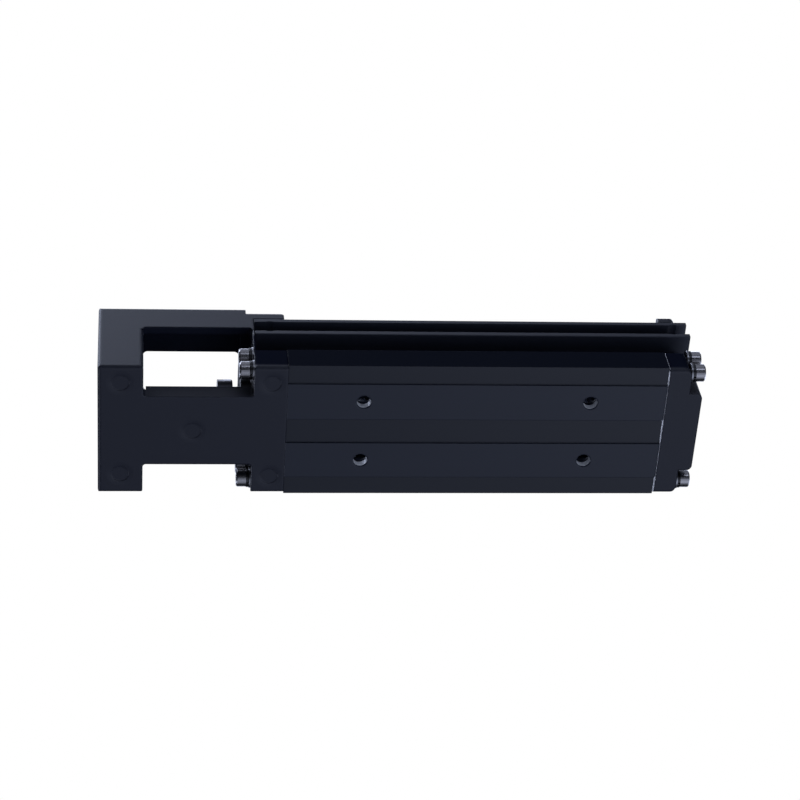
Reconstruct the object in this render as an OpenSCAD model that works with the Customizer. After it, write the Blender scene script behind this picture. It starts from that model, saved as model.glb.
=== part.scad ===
// Ball screw linear module: a U-shaped guide rail with a screw-driven carriage,
// a motor bracket at one end and an end plate at the other.
// X runs along the screw, away from the motor. Z = 0 is the mounting face, and the
// origin is the centre of the four mounting holes.

/* [Base rail] */
// Length of the base rail
base_length = 150; // [140:1:220]
// Width of the base rail over its feet
base_width = 60; // [59:0.1:62]
// Height of the feet, below the sloped shoulders
foot_height = 12.3; // [11.5:0.1:12.6]
// Height of the raceway walls
wall_height = 24; // [23.4:0.1:24.4]
// Width over the raceway walls, outside
wall_width = 43.2; // [42.8:0.1:44]
// Thickness of the channel's floor
floor_thickness = 7.5; // [6.5:0.1:7.7]
// Width of each raised mounting pad
pad_width = 16.2; // [12:0.1:18]
// Depth of the bands beside the pads
band_depth = 0.6; // [0.1:0.1:0.8]
// Distance between the mounting holes, along the rail
hole_pitch_x = 90; // [60:1:100]
// Distance between the two rows of mounting holes
hole_pitch_y = 27.4; // [25:0.1:28]
// Diameter of the mounting holes
hole_d = 5.5; // [4.5:0.1:6]
// Diameter of the counterbores of the mounting holes
counterbore_d = 9; // [8:0.1:9.5]
// Depth of the counterbores of the mounting holes
counterbore_depth = 4.5; // [3:0.1:5]

/* [Castings] */
// Height of the motor plate, twice the height of the screw axis
motor_size = 44.6; // [44:0.1:45.4]
// Width of the castings
casting_width = 58.8; // [58:0.1:59]
// Length of the motor bracket
bracket_length = 73.6; // [68:0.1:84]
// Thickness of the motor plate
motor_plate = 17.6; // [12:0.1:18]
// Length of the bracket's flange, at the base rail
flange_length = 13.2; // [13:0.1:15]
// Height of the flange and of the end plate
flange_height = 40.6; // [40:0.1:41.4]
// Width of the web between the bracket's windows
web_width = 31.6; // [26:0.1:34]
// Thickness of the web
web_thickness = 7.6; // [6:0.1:9]
// Height of the windows' top edge
window_top = 29.8; // [28:0.1:31]
// Thickness of the bracket's side walls and roof
casting_wall = 3.2; // [2.5:0.1:3.5]
// Width of each strip of the roof
roof_strip = 18.4; // [12:0.1:19]
// Radius of the castings' outer edges
edge_radius = 1.3; // [0.6:0.1:1.5]
// Distance between the motor's fixing holes
motor_hole_pitch = 31; // [30:0.1:31.5]
// Diameter of the motor's fixing holes
motor_hole_d = 3.4; // [3:0.1:4]
// Diameter of the motor's centring bore
pilot_d = 22.2; // [20:0.1:24]
// Length of the end plate
plate_length = 14.7; // [14:0.1:18]
// Thickness of the end plate at its corner pockets
plate_flange = 9.4; // [8.8:0.1:10]
// Width of the end plate between its corner pockets
plate_core = 36.4; // [34:0.1:37]
// Width of the bare chamfer on the end plate's joint edge
joint_chamfer = 0.45; // [0.2:0.05:0.6]

/* [Sensor rail] */
// Height of the sensor rail's lower edge
sensor_z = 25.3; // [25:0.1:25.4]
// Width of the sensor rail
sensor_width = 11.2; // [10.8:0.1:11.3]
// Depth of the sensor rail
sensor_depth = 9.7; // [9:0.1:10]
// Thickness of the sensor rail's lips
sensor_lip = 2.2; // [1.8:0.05:2.4]
// Thickness of the sensor rail's floor
sensor_floor = 2; // [1.6:0.1:2.4]
// Distance of the sensor rail's screws from its ends
sensor_inset = 5.9; // [5.8:0.1:6.4]

/* [Ball screw] */
// Outer diameter of the ball screw
screw_d = 12; // [11:0.1:12.2]
// Lead of the ball screw
lead = 10; // [8:0.5:12]
// Diameter of the balls in the nut
nut_ball_d = 2.4; // [2:0.1:2.5]
// Outer diameter of the ball nut
nut_d = 22; // [21.6:0.1:22.4]
// Length of the ball nut
nut_length = 42; // [38:0.5:48]
// Diameter of the bearing journals
journal_d = 8; // [7:0.1:8]
// Diameter of the journal that takes the motor's coupling
drive_d = 6; // [5:0.1:6.35]
// Length of the journal that takes the motor's coupling
drive_length = 14; // [10:0.5:18]
// Outer diameter of the lock nut
lock_nut_d = 16.8; // [16:0.1:19]
// Length of the lock nut
lock_nut_length = 6; // [5:0.1:6.5]

/* [Carriage] */
// Length of the carriage block
block_length = 50; // [46:0.5:52]
// Stroke of the carriage
stroke = 70; // [40:1:70]
// Width between the raceway walls
channel_width = 35; // [34.6:0.1:35.2]
// Diameter of the guide balls
guide_ball_d = 3; // [2.6:0.1:3.1]
// Height of the lower row of guide balls
row_low = 14.2; // [13.8:0.1:14.6]
// Distance between the two rows of guide balls
row_pitch = 6; // [5.6:0.1:6.2]
// Length of the table plate
table_length = 60; // [56:1:64]
// Width of the table plate
table_width = 44; // [40:0.5:46]
// Height of the table's top face
table_top = 46; // [45.5:0.1:48]
// Thickness of the table plate
table_thickness = 7.8; // [7:0.1:8]
// Distance between the table's threaded holes, along the rail
table_pitch_x = 45; // [40:0.5:48]
// Distance between the table's threaded holes, across the rail
table_pitch_y = 32; // [28:0.5:34]

/* [Hidden] */
$fn = 48;

fit = 0.02;            // radial clearance of parts that are pressed or located
seat = 0.05;           // radial clearance of parts that slide on
ball_gap = 0.2;        // clearance round every rolling ball
play = 0.3;            // clearance between parts that move past each other
cut = 1;               // overlap of a cutting tool past the face it cuts

axis_z = motor_size / 2;
x_base = base_length / 2;               // faces of the base rail, at both ends
x_motor = -x_base - bracket_length;     // motor face
x_end = x_base + plate_length;          // far face of the end plate
x_leg = x_motor + motor_plate;          // inner face of the motor plate
x_flange = -x_base - flange_length;     // inner face of the bracket's flange
half_casting = casting_width / 2;
half_wall = wall_width / 2;
half_channel = channel_width / 2;

// Screws of the castings, M4 with spring washer and flat washer
m4_d = 4;
m4_clear = 4.4;
m4_head_d = 7;
m4_head = 4;
m4_hex = 3;
m4_tap = 3.4;
spring_washer = 1.1;
spring_washer_d = 7.4;
flat_washer = 0.8;
flat_washer_d = 8;
corner_y = half_casting - 4;
corner_low = 4.6;
corner_high = 14;
corner_cut_d = 8.5;                     // counterbore round the washers
bracket_spot = 0.2;                     // depth of that counterbore
thread_grip = 9;
corner_places = [for (s = [-1, 1], z = [corner_low, corner_high]) [s * corner_y, z]];

// Outline of the castings beside the base rail
shoulder_z = 18.6;                      // top of the sloped shoulders
shoulder_y = half_casting - 4.1;
side_seat_y = half_wall - 1.8;          // face that carries the sensor rail
sensor_y = side_seat_y;                 // back of the sensor rail
ear_z = sensor_z + sensor_width + play;
ear_step = 1.9;                         // distance of the end plate's ears from the joint
front_wall = 0.9;                       // full-width wall before the sensor rail
step_x = x_flange - 2;                  // end of the high part of the bracket
step_fillet = 0.5;
leg_round = 1.5;                        // corners of the leg and of the flange at the windows
flange_round = 1;
ejector_d = 7;                          // shallow recesses left by the ejector pins
ejector_depth = 0.15;

// Motor side of the bracket
pilot_depth = 5;
pilot_relief_d = 30;                    // wider bore behind the pilot bore
motor_head_d = 6.4;                     // room for the heads of the motor's screws

// Sensor rail
sensor_x0 = x_flange + front_wall + 0.3;
sensor_x1 = x_end - 1.5;
sensor_mid = sensor_z + sensor_width / 2;
sensor_holes = [sensor_x0 + sensor_inset, sensor_x1 - sensor_inset];
sensor_head_d = 7;
sensor_head = 2.4;
sensor_cut_d = 7.6;

// Fixed bearing pair
bearing_d = 22;
bearing_width = 7;
bearing_split = 0.1;                    // gap between the two bearings of the pair
bearing_groove = 1.95;
bearing_ball_d = 3.5;
bearing_ball_n = 9;
cover_d = 33;
cover_thickness = 2;
cover_hub_d = 17;
cover_hub = 4.2;
cover_screw_r = 13.9;
cover_screw_d = 2.5;
boss_d = 26.2;
boss_length = 4;
lip_d = 18;
x_bearing = x_flange + cover_thickness;             // motor side of the bearing pair
bearing_pitch = bearing_width + bearing_split;
x_shoulder = x_bearing + bearing_pitch + bearing_width;     // screw's shoulder
x_boss = -x_base + boss_length;
collar_d = 11;
x_lock_nut = x_flange - cover_hub - 3.1;            // nut face towards the bearings
x_drive = x_lock_nut - lock_nut_length - 1;         // shoulder of the drive journal
x_tip = x_drive - drive_length;

// Support bearing and circlip
x_support = x_end - 9;
circlip_w = 0.9;
circlip_d = 12;
x_circlip = x_support + bearing_width + 0.15;
x_tail = x_circlip + circlip_w + 0.9;
x_screw_end = x_base - 1;

// Ball screw thread
pitch_r = screw_d / 2 + 0.4;
groove_r = nut_ball_d / 2 + ball_gap + 0.05;
thread_steps = 14;                                  // slices in a turn
x_thread0 = x_shoulder + 3;
x_thread1 = x_screw_end;

// Carriage
block_half = half_channel - 0.6;
block_low = floor_thickness + 1.7;
block_top = table_top - table_thickness;
block_upper_half = half_channel + 1.1;
block_shelf = wall_height + 0.8;
cap_length = 6;
wiper_length = 1.5;
cap_inset = 0.3;
row_y = half_channel - 0.3;
row_z = [row_low, row_low + row_pitch];
row_groove = guide_ball_d / 2 + ball_gap;
row_length = block_length - 4;
row_ball_pitch = guide_ball_d + 0.4;
return_y = 14;
return_rise = 3.4;
cap_screw_places = [for (s = [-1, 1], p = [[13.2, block_low + 2.4], [15.6, block_top - 4]])
    [s * p[0], p[1]]];
cap_screw_d = 2.5;
cap_head_d = 4.5;
cap_head = 1.5;
nipple_y = 9.8;
nipple_z = block_top - 3;
lock_screw_x = 8;
lock_screw_d = 4.2;
table_screw_x = 15;
table_screw_y = 12;
bumper_length = 2.7;
bumper_d = boss_d - 1;
bumper_bore = lip_d;

// A flat outline drawn in Y and Z, carried along X
module along_x(x0, x1) {
    translate([x0, 0, 0]) rotate([90, 0, 90]) linear_extrude(x1 - x0) children();
}

// A flat outline drawn in X and Z, carried along Y
module along_y(y0, y1) {
    translate([0, y1, 0]) rotate([90, 0, 0]) linear_extrude(y1 - y0) children();
}

// A flat outline drawn in X and Y, carried along Z
module along_z(z0, z1) {
    translate([0, 0, z0]) linear_extrude(z1 - z0) children();
}

// A cylinder along X
module rod(d, x0, x1, y = 0, z = axis_z) {
    translate([x0, y, z]) rotate([0, 90, 0]) cylinder(d = d, h = x1 - x0);
}

// A cone along X
module cone(d0, d1, x0, x1, y = 0, z = axis_z) {
    translate([x0, y, z]) rotate([0, 90, 0]) cylinder(d1 = d0, d2 = d1, h = x1 - x0);
}

// A hexagon along X, measured across its flats
module hex_rod(across, x0, x1, y = 0, z = axis_z) {
    translate([x0, y, z]) rotate([0, 90, 0]) cylinder(d = across / cos(30), h = x1 - x0, $fn = 6);
}

// A ring about the screw axis
module ring(d, bore, x0, x1) {
    difference() {
        rod(d, x0, x1);
        rod(bore, x0 - cut, x1 + cut);
    }
}

// A rectangle with round corners
module round_rect(x0, y0, x1, y1, r) {
    translate([x0 + r, y0]) square([x1 - x0 - 2 * r, y1 - y0]);
    translate([x0, y0 + r]) square([x1 - x0, y1 - y0 - 2 * r]);
    for (x = [x0 + r, x1 - r], y = [y0 + r, y1 - r]) translate([x, y]) circle(r);
}

// ---- Base rail ----

// Half of the rail's section, feet, shoulders and walls
module rail_outline() {
    h = base_width / 2;
    slope_y = h - 3.9;
    polygon([[-h, 0], [h, 0], [h, foot_height], [slope_y, shoulder_z - 0.4],
        [half_wall, shoulder_z - 0.4], [half_wall, wall_height], [-half_wall, wall_height],
        [-half_wall, shoulder_z - 0.4], [-slope_y, shoulder_z - 0.4], [-h, foot_height]]);
}

module base_rail() color([0.09, 0.1, 0.12]) {
    pad_in = hole_pitch_y / 2 - pad_width / 2;
    pad_out = hole_pitch_y / 2 + pad_width / 2;
    relief = half_channel + 1.1;
    difference() {
        along_x(-x_base, x_base) difference() {
            rail_outline();
            translate([-half_channel, floor_thickness]) square([channel_width, wall_height]);
            translate([-relief, floor_thickness]) square([2 * relief, 3.6]);
            for (s = [-1, 1], z = row_z) translate([s * row_y, z]) circle(row_groove);
            translate([-pad_in, -cut]) square([2 * pad_in, cut + band_depth]);
            for (s = [0, 1]) mirror([s, 0])
                translate([pad_out, -cut]) square([base_width, cut + band_depth]);
        }
        for (x = [-1, 1], y = [-1, 1])
            translate([x * hole_pitch_x / 2, y * hole_pitch_y / 2, 0]) {
                translate([0, 0, -cut]) cylinder(d = hole_d, h = floor_thickness + 2 * cut);
                translate([0, 0, floor_thickness - counterbore_depth])
                    cylinder(d = counterbore_d, h = counterbore_depth + 2);
                translate([0, 0, -0.01]) cylinder(d1 = hole_d + 0.7, d2 = hole_d, h = 0.35);
            }
        for (p = corner_places, e = [-1, 1])
            rod(m4_tap, min(e * x_base, e * (x_base - thread_grip - 2)) - (e < 0 ? cut : 0),
                max(e * x_base, e * (x_base - thread_grip - 2)) + (e > 0 ? cut : 0), p[0], p[1]);
    }
}

// ---- Castings ----

// Section of the castings where they stand beside the sensor rail
module casting_section() {
    h = half_casting;
    w = half_wall;
    polygon([[-h, 0], [h, 0], [h, foot_height + 0.4], [shoulder_y, shoulder_z], [w, shoulder_z],
        [w, wall_height], [side_seat_y, wall_height], [side_seat_y, ear_z], [h, ear_z],
        [h, flange_height], [-h, flange_height], [-h, ear_z], [-side_seat_y, ear_z],
        [-side_seat_y, wall_height], [-w, wall_height], [-w, shoulder_z],
        [-shoulder_y, shoulder_z], [-h, foot_height + 0.4]]);
}

// Outer form of the motor bracket, with round edges and the step over the flange
module bracket_form() {
    r = edge_radius;
    intersection() {
        along_x(x_motor, -x_base) round_rect(-half_casting, 0, half_casting, motor_size, r);
        along_z(0, motor_size)
            round_rect(x_motor, -half_casting, -x_base + 2 * r, half_casting, r);
        along_y(-half_casting, half_casting) {
            round_rect(x_motor, 0, step_x, motor_size, r);
            round_rect(step_x - 4 * r, axis_z, -x_base, flange_height, r);
            translate([x_motor + r, 0]) square([bracket_length - r, flange_height - 2 * r]);
            difference() {
                translate([step_x - r, flange_height - r]) square([r + step_fillet, r + step_fillet]);
                translate([step_x + step_fillet, flange_height + step_fillet]) circle(step_fillet);
            }
        }
    }
}

// Corner piece that rounds off an outer corner: sx and sy point away from the body
module round_off(x, y, sx, sy, r) {
    difference() {
        translate([min(x - sx * r, x + sx * 0.1), min(y - sy * r, y + sy * cut)])
            square([r + 0.1, r + cut]);
        translate([x - sx * r, y - sy * r]) circle(r);
    }
}

// Windows on both sides, which wrap round the bottom corners
module bracket_windows() {
    r = 1.3;
    for (s = [0, 1]) mirror([0, s, 0]) {
        intersection() {
            along_z(-cut, window_top)
                round_rect(x_leg, web_width / 2, x_flange, half_casting + 2 * r, r);
            along_y(0, half_casting + cut)
                round_rect(x_leg, -4 * r, x_flange, window_top, r);
        }
        along_z(-cut, window_top - r) {
            round_off(x_leg, half_casting, 1, 1, leg_round);
            round_off(x_flange, half_casting, -1, 1, flange_round);
        }
    }
}

module motor_bracket() color([0.1, 0.105, 0.12]) {
    roof_open = half_casting - roof_strip;
    inside = half_casting - casting_wall;
    x_roof = step_x - 2.2;
    difference() {
        union() {
            difference() {
                bracket_form();
                along_x(x_flange + front_wall, -x_base + cut) difference() {
                    translate([-base_width, -cut]) square([2 * base_width, motor_size + 2 * cut]);
                    casting_section();
                }
                along_x(x_leg, x_flange)
                    round_rect(-inside, web_thickness, inside, flange_height - casting_wall, 1.3);
                along_x(x_leg, x_roof)
                    round_rect(-inside, web_thickness, inside, motor_size - casting_wall, 1.3);
                along_z(axis_z, motor_size + cut)
                    round_rect(x_leg, -roof_open, x_roof, roof_open, 2);
                bracket_windows();
            }
            rod(boss_d, -x_base - cut, x_boss);
        }
        // motor side
        rod(pilot_d, x_motor - cut, x_leg + cut);
        rod(pilot_relief_d, x_motor + pilot_depth, x_leg + cut);
        for (y = [-1, 1], z = [-1, 1]) {
            hy = y * motor_hole_pitch / 2;
            hz = axis_z + z * motor_hole_pitch / 2;
            rod(motor_hole_d, x_motor - cut, x_leg + cut, hy, hz);
            rod(motor_head_d, x_motor + pilot_depth, x_leg + seat, hy, hz);
        }
        // bearing side
        rod(cover_d + 2 * seat, x_flange - cut, x_bearing);
        rod(bearing_d + 2 * fit, x_flange, x_shoulder);
        rod(lip_d, x_flange, x_boss + cut);
        for (a = [45:90:315])
            rod(cover_screw_d - 0.5, x_bearing - cut, x_bearing + 6,
                cover_screw_r * cos(a), axis_z + cover_screw_r * sin(a));
        // screws into the base rail and the sensor rail's screw
        for (p = corner_places) {
            rod(m4_clear, x_flange - cut, -x_base + cut, p[0], p[1]);
            rod(corner_cut_d, x_flange - cut, x_flange + bracket_spot, p[0], p[1]);
        }
        for (s = [-1, 1])
            translate([sensor_holes[0], s * (side_seat_y + cut), sensor_mid]) rotate([s * 90, 0, 0])
                cylinder(d = m4_tap, h = 7 + cut);
        // ejector marks
        for (p = [[x_motor + 8.7, -22], [x_motor + 8.7, 20.4], [x_motor + 36.8, 0],
                  [-x_base - 6.1, -22], [-x_base - 6.1, 21.4]])
            translate([p[0], p[1], -cut]) cylinder(d = ejector_d, h = cut + ejector_depth);
    }
}

module end_plate() color([0.1, 0.105, 0.12]) {
    corner_r = 2.2;
    x_pocket = x_base + plate_flange;
    difference() {
        union() {
            intersection() {
                along_x(x_base, x_end) casting_section();
                along_x(x_base, x_end)
                    round_rect(-half_casting, 0, half_casting, flange_height, edge_radius);
                union() {
                    intersection() {
                        along_z(0, flange_height)
                            round_rect(x_base - 4, -half_casting, x_pocket, half_casting, 3.4);
                        along_y(-half_casting, half_casting) {
                            translate([x_base - 4, 0]) square([4 + plate_flange, axis_z]);
                            round_rect(x_base - 4, 0, x_pocket, flange_height, 1.5);
                        }
                    }
                    along_z(0, flange_height)
                        round_rect(x_base, -plate_core / 2, x_end, plate_core / 2, corner_r);
                }
            }
            rod(boss_d, x_base - boss_length, x_base + cut);
        }
        // step behind the ears
        along_y(-half_casting - cut, half_casting + cut)
            translate([x_base - cut, ear_z]) square([cut + ear_step, flange_height]);
        // bare chamfer round the joint
        for (s = [-1, 1]) translate([x_base, s * half_casting, -cut]) rotate([0, 0, 45])
            translate([-joint_chamfer / sqrt(2), -joint_chamfer / sqrt(2), 0])
                cube([joint_chamfer * sqrt(2), joint_chamfer * sqrt(2), foot_height + 1.4]);
        translate([x_base, -half_casting - cut, 0]) rotate([0, 45, 0])
            translate([-joint_chamfer / sqrt(2), 0, -joint_chamfer / sqrt(2)])
                cube([joint_chamfer * sqrt(2), casting_width + 2 * cut, joint_chamfer * sqrt(2)]);
        // support bearing
        rod(bearing_d + 2 * fit, x_support, x_end + cut);
        rod(lip_d, x_base - boss_length - cut, x_end + cut);
        // screws into the base rail and the sensor rail's screw
        for (p = corner_places) rod(m4_clear, x_base - cut, x_end + cut, p[0], p[1]);
        for (s = [-1, 1])
            translate([sensor_holes[1], s * (side_seat_y + cut), sensor_mid]) rotate([s * 90, 0, 0])
                cylinder(d = m4_tap, h = 6.4 + cut);
    }
}

// ---- Sensor rail ----

module sensor_rail() color([0.08, 0.09, 0.11]) {
    y1 = -sensor_y;
    y0 = y1 - sensor_depth;
    difference() {
        along_x(sensor_x0, sensor_x1) difference() {
            round_rect(y0, sensor_z, y1, sensor_z + sensor_width, 0.3);
            translate([y0 - cut, sensor_z + sensor_lip])
                square([sensor_depth - sensor_floor + cut, sensor_width - 2 * sensor_lip]);
        }
        for (x = sensor_holes) translate([x, y1 + cut, sensor_mid]) rotate([90, 0, 0]) {
            cylinder(d = m4_clear, h = sensor_depth);
            translate([0, 0, sensor_floor + cut]) cylinder(d = sensor_cut_d, h = sensor_depth);
        }
    }
}

module sensor_rail_screws() color([0.12, 0.12, 0.13]) {
    for (x = sensor_holes)
        translate([x, -sensor_y - sensor_floor, sensor_mid]) rotate([90, 0, 0]) difference() {
            union() {
                cylinder(d = sensor_head_d, h = sensor_head - 0.4);
                translate([0, 0, sensor_head - 0.4])
                    cylinder(d1 = sensor_head_d, d2 = sensor_head_d - 0.8, h = 0.4);
                translate([0, 0, -sensor_floor - 5.6])
                    cylinder(d = m4_tap - 0.1, h = sensor_floor + 5.7);
            }
            translate([0, 0, 1]) cylinder(d = 2.5 / cos(30), h = sensor_head, $fn = 6);
        }
}

// ---- Screws and washers of the castings ----

// A socket screw along X: head away from the rail (side = -1 at the bracket)
module corner_screw(side, x_seat, grip) {
    reach = x_seat + side * (flat_washer + spring_washer);
    for (p = corner_places) translate([reach, p[0], p[1]]) rotate([0, side * 90, 0])
        difference() {
            union() {
                cylinder(d = m4_head_d, h = m4_head - 0.5);
                translate([0, 0, m4_head - 0.5])
                    cylinder(d1 = m4_head_d, d2 = m4_head_d - 1, h = 0.5);
                translate([0, 0, -grip]) cylinder(d = m4_tap - 0.1, h = grip + 0.1);
            }
            translate([0, 0, m4_head - 2.2]) cylinder(d = m4_hex / cos(30), h = 3, $fn = 6);
        }
}

// A washer under each of those screws
module corner_washer(x0, x1, d) {
    for (p = corner_places) difference() {
        rod(d, x0, x1, p[0], p[1]);
        rod(m4_clear, x0 - cut, x1 + cut, p[0], p[1]);
    }
}

// A split spring washer under each of those screws
module corner_spring(x0, x1) {
    difference() {
        corner_washer(x0, x1, spring_washer_d);
        for (p = corner_places)
            translate([x0 - cut, p[0] - 0.3, p[1] - spring_washer_d / 2 - 0.3])
                cube([x1 - x0 + 2 * cut, 0.6, spring_washer_d / 2]);
    }
}

bracket_seat = x_flange + bracket_spot;
plate_seat = x_base + plate_flange;
bracket_grip = flat_washer + spring_washer + flange_length - bracket_spot + thread_grip;
plate_grip = flat_washer + spring_washer + plate_flange + thread_grip;

module bracket_screws() color([0.14, 0.13, 0.13]) corner_screw(-1, bracket_seat, bracket_grip);
module bracket_spring_washers() color([0.16, 0.16, 0.17])
    corner_spring(bracket_seat - flat_washer - spring_washer, bracket_seat - flat_washer);
module bracket_flat_washers() color([0.2, 0.2, 0.21])
    corner_washer(bracket_seat - flat_washer, bracket_seat, flat_washer_d);
module end_plate_screws() color([0.14, 0.13, 0.13]) corner_screw(1, plate_seat, plate_grip);
module end_plate_spring_washers() color([0.16, 0.16, 0.17])
    corner_spring(plate_seat + flat_washer, plate_seat + flat_washer + spring_washer);
module end_plate_flat_washers() color([0.2, 0.2, 0.21])
    corner_washer(plate_seat, plate_seat + flat_washer, flat_washer_d);

// ---- Ball screw ----

// Radius of the thread's section at an angle from the middle of its groove
function groove_depth_at(a) = pitch_r - sqrt(max(0, groove_r * groove_r - a * a));
function thread_radius(angle) = min(screw_d / 2, groove_depth_at(lead * angle / 360));
groove_edge = sqrt(groove_r * groove_r - pow(pitch_r - screw_d / 2, 2)) * 360 / lead;
thread_angles = concat(
    [for (t = [-1, -0.75, -0.35, 0, 0.35, 0.75, 1]) t * groove_edge],
    [for (i = [1:7]) groove_edge + i * (360 - 2 * groove_edge) / 8]);

// The ball track's right-hand helix, in phase with the balls of the nut
module thread(x0, x1) {
    translate([x0, 0, axis_z]) rotate([0, 90, 0]) rotate([0, 0, 360 * x0 / lead])
        linear_extrude(x1 - x0, twist = -360 * (x1 - x0) / lead,
            slices = ceil((x1 - x0) / lead * thread_steps), segments = len(thread_angles))
            polygon([for (a = thread_angles) thread_radius(a) * [cos(-a), sin(-a)]]);
}

module screw_shaft() color([0.62, 0.64, 0.67]) {
    difference() {
        union() {
            thread(x_thread0, x_thread1);
            rod(screw_d - 0.6, x_shoulder, x_thread0);
            rod(journal_d, x_drive, x_shoulder);
            cone(drive_d - 1, drive_d, x_tip, x_tip + 0.5);
            rod(drive_d, x_tip + 0.5, x_drive);
            rod(journal_d, x_screw_end, x_tail - 0.4);
            cone(journal_d, journal_d - 0.8, x_tail - 0.4, x_tail);
        }
        ring(journal_d + 2, journal_d - 0.8, x_circlip, x_circlip + circlip_w);
    }
}

module lock_nut() color([0.42, 0.42, 0.44]) {
    x0 = x_lock_nut - lock_nut_length;
    difference() {
        union() {
            rod(lock_nut_d, x0, x_lock_nut - 0.5);
            cone(lock_nut_d, lock_nut_d - 1, x_lock_nut - 0.5, x_lock_nut);
        }
        rod(journal_d + 2 * fit, x0 - cut, x_lock_nut + cut);
        for (a = [30:60:330]) translate([x0 - cut, 0, axis_z]) rotate([a, 0, 0])
            translate([0, lock_nut_d / 2 - 1, -1.5]) cube([cut + 2.4, 4, 3]);
        translate([x_lock_nut - 2.4, 0, axis_z]) cylinder(d = 3.2, h = lock_nut_d);
    }
}

module lock_nut_set_screw() color([0.2, 0.2, 0.21]) {
    translate([x_lock_nut - 2.4, 0, axis_z]) difference() {
        translate([0, 0, journal_d / 2 + 0.1]) cylinder(d = 3, h = lock_nut_d / 2 - journal_d / 2 - 0.6);
        translate([0, 0, lock_nut_d / 2 - 2]) cylinder(d = 1.5 / cos(30), h = 4, $fn = 6);
    }
}

module spacer_collar() color([0.6, 0.61, 0.63])
    ring(collar_d, journal_d + 2 * fit, x_lock_nut, x_bearing);

module bearing_cover() color([0.16, 0.16, 0.17]) {
    difference() {
        union() {
            rod(cover_d, x_flange, x_bearing);
            rod(cover_hub_d, x_flange - cover_hub, x_flange + 0.5);
        }
        rod(15, x_flange - cover_hub - cut, x_flange - 0.8);
        rod(collar_d + 0.6, x_flange - cover_hub - cut, x_bearing + cut);
        for (a = [45:90:315])
            rod(cover_screw_d + 0.3, x_flange - cut, x_bearing + cut,
                cover_screw_r * cos(a), axis_z + cover_screw_r * sin(a));
    }
}

module bearing_cover_screws() color([0.15, 0.15, 0.16]) {
    for (a = [45:90:315]) {
        y = cover_screw_r * cos(a);
        z = axis_z + cover_screw_r * sin(a);
        difference() {
            union() {
                rod(4.5, x_flange - 1.5, x_flange, y, z);
                rod(cover_screw_d - 0.6, x_flange - 0.2, x_bearing + 5, y, z);
            }
            hex_rod(1.5, x_flange - 3, x_flange - 0.6, y, z);
        }
    }
}

module cover_seal() color([0.09, 0.09, 0.09])
    ring(15 - 2 * fit, collar_d + 2 * seat, x_flange - cover_hub + 0.1, x_flange - 0.8);

// ---- Bearings ----

// Outer ring, inner ring, balls and cage of a bearing whose near face is at x0
module bearing_outer(x0) {
    mid = x0 + bearing_width / 2;
    translate([mid, 0, axis_z]) rotate([0, 90, 0]) rotate_extrude() difference() {
        translate([8.7, -bearing_width / 2]) square([bearing_d / 2 - 8.7, bearing_width]);
        translate([7.5, 0]) circle(bearing_groove);
    }
}

module bearing_inner(x0) {
    mid = x0 + bearing_width / 2;
    bore = journal_d / 2 + fit;
    translate([mid, 0, axis_z]) rotate([0, 90, 0]) rotate_extrude() difference() {
        translate([bore, -bearing_width / 2]) square([6.3 - bore, bearing_width]);
        translate([7.5, 0]) circle(bearing_groove);
    }
}

module bearing_balls(x0) {
    for (i = [0:bearing_ball_n - 1]) translate([x0 + bearing_width / 2, 0, axis_z])
        rotate([i * 360 / bearing_ball_n, 0, 0]) translate([0, 7.5, 0]) sphere(d = bearing_ball_d);
}

module bearing_cage(x0) {
    mid = x0 + bearing_width / 2;
    difference() {
        translate([mid, 0, axis_z]) rotate([0, 90, 0]) rotate_extrude()
            translate([6.9, -2.6]) square([1.2, 5.2]);
        for (i = [0:bearing_ball_n - 1]) translate([mid, 0, axis_z])
            rotate([i * 360 / bearing_ball_n - 90, 0, 0]) translate([0, 0, 6])
                cylinder(d = bearing_ball_d + 0.3, h = 3);
    }
}

module fixed_bearing_outer_rings() color([0.66, 0.67, 0.7])
    for (i = [0, 1]) bearing_outer(x_bearing + i * bearing_pitch);
module fixed_bearing_inner_rings() color([0.66, 0.67, 0.7])
    for (i = [0, 1]) bearing_inner(x_bearing + i * bearing_pitch);
module fixed_bearing_balls() color([0.78, 0.79, 0.81])
    for (i = [0, 1]) bearing_balls(x_bearing + i * bearing_pitch);
module fixed_bearing_cages() color([0.72, 0.6, 0.34])
    for (i = [0, 1]) bearing_cage(x_bearing + i * bearing_pitch);
module support_bearing_outer_ring() color([0.66, 0.67, 0.7]) bearing_outer(x_support);
module support_bearing_inner_ring() color([0.66, 0.67, 0.7]) bearing_inner(x_support);
module support_bearing_balls() color([0.78, 0.79, 0.81]) bearing_balls(x_support);
module support_bearing_cage() color([0.72, 0.6, 0.34]) bearing_cage(x_support);

module shaft_circlip() color([0.25, 0.25, 0.26]) difference() {
    ring(circlip_d, journal_d - 0.7, x_circlip + 0.05, x_circlip + circlip_w - 0.05);
    translate([x_circlip - cut, -1.4, axis_z]) cube([circlip_w + 2 * cut, 2.8, circlip_d]);
}

// ---- Ball nut ----

ball_turns = 2;
ball_count = floor(ball_turns * PI * 2 * pitch_r / (nut_ball_d + 0.5));
ball_zone = ball_turns * lead / 2 + nut_ball_d;
nut_chamber_d = 2 * pitch_r + nut_ball_d + 2 * ball_gap;
deflector_d = 5;
deflector_x = 7;

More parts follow.
